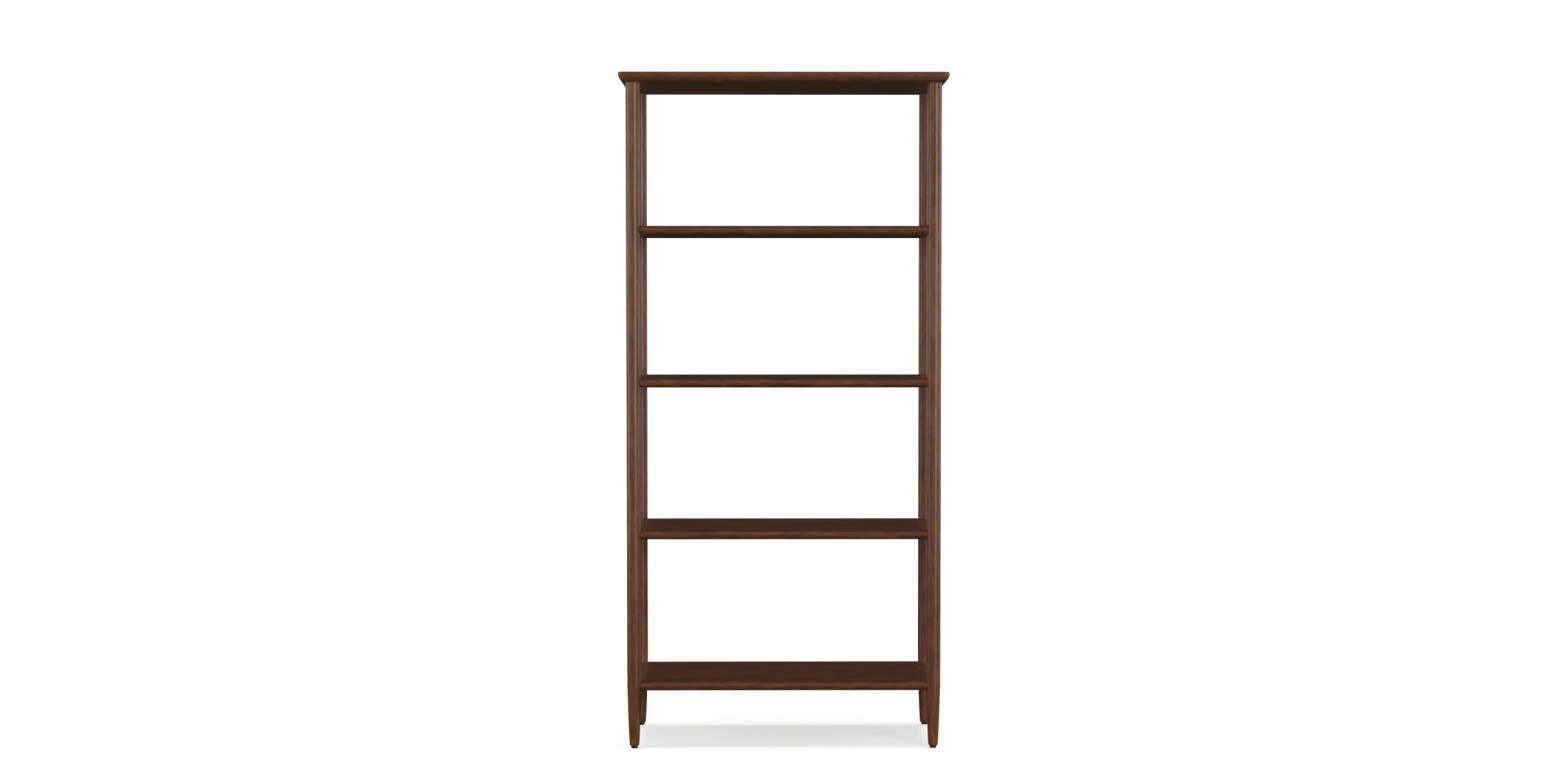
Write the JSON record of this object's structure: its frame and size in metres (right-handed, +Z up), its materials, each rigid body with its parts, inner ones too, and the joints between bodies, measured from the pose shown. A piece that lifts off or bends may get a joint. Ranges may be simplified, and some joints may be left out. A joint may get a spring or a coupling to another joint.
{
  "type": "open bookcase with adjustable shelves",
  "caption": "Open walnut-stained bookcase: moulded top on round tapered posts, bullnosed shelves coped around the posts, some fixed, some lifting off pins; screw-out levelling feet.",
  "frame": {"origin": "on the floor, under the middle of the top (bottom centre of the bounding box)", "axes": "+Z up, +X to the bookcase's right as seen from the front, the front faces -Y"},
  "size_m": [0.914, 0.419, 1.88],
  "materials": {
    "top_veneer": "satin walnut-stained veneer, grain along X",
    "top_edge_wood": "satin walnut-stained solid wood, grain along each strip",
    "post_wood": "satin walnut-stained turned wood, grain along the post",
    "shelf_veneer": "satin walnut-stained veneer, grain along X",
    "shelf_edge_wood": "satin walnut-stained solid wood, grain along each strip",
    "plug_wood": "satin walnut-stained end grain",
    "pin_brass": "satin brass",
    "insert_brass": "plain machined brass",
    "zinc_steel": "bright zinc plate",
    "glide_nylon": "black nylon"
  },
  "bodies": {
    "carcass": {"top_panel": "top_veneer", "top_front_strip": "top_edge_wood", "top_rear_strip": "top_edge_wood", "top_left_strip": "top_edge_wood", "top_right_strip": "top_edge_wood", "front_left_post": "post_wood", "front_right_post": "post_wood", "rear_left_post": "post_wood", "rear_right_post": "post_wood", "middle_shelf_panel": "shelf_veneer", "middle_shelf_front_strip": "shelf_edge_wood", "middle_shelf_rear_strip": "shelf_edge_wood", "middle_shelf_left_strip": "shelf_edge_wood", "middle_shelf_right_strip": "shelf_edge_wood", "bottom_shelf_panel": "shelf_veneer", "bottom_shelf_front_strip": "shelf_edge_wood", "bottom_shelf_rear_strip": "shelf_edge_wood", "bottom_shelf_left_strip": "shelf_edge_wood", "bottom_shelf_right_strip": "shelf_edge_wood", "leg_inserts": "insert_brass", "shelf_bolts": "zinc_steel", "barrel_nuts": "zinc_steel", "bolt_plugs": "plug_wood", "top_bolts": "zinc_steel", "top_plugs": "plug_wood", "post_inserts": "insert_brass"},
    "upper_shelf": {"upper_shelf_panel": "shelf_veneer", "upper_shelf_front_strip": "shelf_edge_wood", "upper_shelf_rear_strip": "shelf_edge_wood", "upper_shelf_left_strip": "shelf_edge_wood", "upper_shelf_right_strip": "shelf_edge_wood"},
    "lower_shelf": {"lower_shelf_panel": "shelf_veneer", "lower_shelf_front_strip": "shelf_edge_wood", "lower_shelf_rear_strip": "shelf_edge_wood", "lower_shelf_left_strip": "shelf_edge_wood", "lower_shelf_right_strip": "shelf_edge_wood"},
    "upper_pin_front_left": {"upper_pin_front_left": "pin_brass"},
    "upper_pin_front_right": {"upper_pin_front_right": "pin_brass"},
    "upper_pin_rear_left": {"upper_pin_rear_left": "pin_brass"},
    "upper_pin_rear_right": {"upper_pin_rear_right": "pin_brass"},
    "lower_pin_front_left": {"lower_pin_front_left": "pin_brass"},
    "lower_pin_front_right": {"lower_pin_front_right": "pin_brass"},
    "lower_pin_rear_left": {"lower_pin_rear_left": "pin_brass"},
    "lower_pin_rear_right": {"lower_pin_rear_right": "pin_brass"},
    "glide_front_left": {"glide_front_left": "glide_nylon"},
    "stem_front_left": {"stem_front_left": "zinc_steel"},
    "glide_front_right": {"glide_front_right": "glide_nylon"},
    "stem_front_right": {"stem_front_right": "zinc_steel"},
    "glide_rear_left": {"glide_rear_left": "glide_nylon"},
    "stem_rear_left": {"stem_rear_left": "zinc_steel"},
    "glide_rear_right": {"glide_rear_right": "glide_nylon"},
    "stem_rear_right": {"stem_rear_right": "zinc_steel"}
  },
  "joints": [
    {"name": "upper_shelf_lift", "type": "slide", "parent": "carcass", "child": "upper_shelf", "axis": [0, 0, 1], "range_m": [0, 0.394]},
    {"name": "lower_shelf_lift", "type": "slide", "parent": "carcass", "child": "lower_shelf", "axis": [0, 0, 1], "range_m": [0, 0.398]},
    {"name": "upper_pin_front_left_pull", "type": "slide", "parent": "carcass", "child": "upper_pin_front_left", "axis": [1, 0, 0], "range_m": [0, 0.01]},
    {"name": "upper_pin_front_right_pull", "type": "slide", "parent": "carcass", "child": "upper_pin_front_right", "axis": [-1, 0, 0], "range_m": [0, 0.01]},
    {"name": "upper_pin_rear_left_pull", "type": "slide", "parent": "carcass", "child": "upper_pin_rear_left", "axis": [1, 0, 0], "range_m": [0, 0.01]},
    {"name": "upper_pin_rear_right_pull", "type": "slide", "parent": "carcass", "child": "upper_pin_rear_right", "axis": [-1, 0, 0], "range_m": [0, 0.01]},
    {"name": "lower_pin_front_left_pull", "type": "slide", "parent": "carcass", "child": "lower_pin_front_left", "axis": [1, 0, 0], "range_m": [0, 0.01]},
    {"name": "lower_pin_front_right_pull", "type": "slide", "parent": "carcass", "child": "lower_pin_front_right", "axis": [-1, 0, 0], "range_m": [0, 0.01]},
    {"name": "lower_pin_rear_left_pull", "type": "slide", "parent": "carcass", "child": "lower_pin_rear_left", "axis": [1, 0, 0], "range_m": [0, 0.01]},
    {"name": "lower_pin_rear_right_pull", "type": "slide", "parent": "carcass", "child": "lower_pin_rear_right", "axis": [-1, 0, 0], "range_m": [0, 0.01]},
    {"name": "glide_front_left_travel", "type": "slide", "parent": "carcass", "child": "glide_front_left", "axis": [0, 0, -1], "range_m": [0, 0.008]},
    {"name": "stem_front_left_turn", "type": "hinge", "parent": "glide_front_left", "child": "stem_front_left", "pos_m": [-0.418, -0.1705, 0], "axis": [0, 0, -1], "range_deg": [0, 2300]},
    {"name": "glide_front_right_travel", "type": "slide", "parent": "carcass", "child": "glide_front_right", "axis": [0, 0, -1], "range_m": [0, 0.008]},
    {"name": "stem_front_right_turn", "type": "hinge", "parent": "glide_front_right", "child": "stem_front_right", "pos_m": [0.418, -0.1705, 0], "axis": [0, 0, -1], "range_deg": [0, 2300]},
    {"name": "glide_rear_left_travel", "type": "slide", "parent": "carcass", "child": "glide_rear_left", "axis": [0, 0, -1], "range_m": [0, 0.008]},
    {"name": "stem_rear_left_turn", "type": "hinge", "parent": "glide_rear_left", "child": "stem_rear_left", "pos_m": [-0.418, 0.1705, 0], "axis": [0, 0, -1], "range_deg": [0, 2300]},
    {"name": "glide_rear_right_travel", "type": "slide", "parent": "carcass", "child": "glide_rear_right", "axis": [0, 0, -1], "range_m": [0, 0.008]},
    {"name": "stem_rear_right_turn", "type": "hinge", "parent": "glide_rear_right", "child": "stem_rear_right", "pos_m": [0.418, 0.1705, 0], "axis": [0, 0, -1], "range_deg": [0, 2300]}
  ],
  "couplings": [
    {"joint": "glide_front_left_travel", "follows": "stem_front_left_turn", "m_per_rad": 0.00019894},
    {"joint": "glide_front_right_travel", "follows": "stem_front_right_turn", "m_per_rad": 0.00019894},
    {"joint": "glide_rear_left_travel", "follows": "stem_rear_left_turn", "m_per_rad": 0.00019894},
    {"joint": "glide_rear_right_travel", "follows": "stem_rear_right_turn", "m_per_rad": 0.00019894}
  ]
}
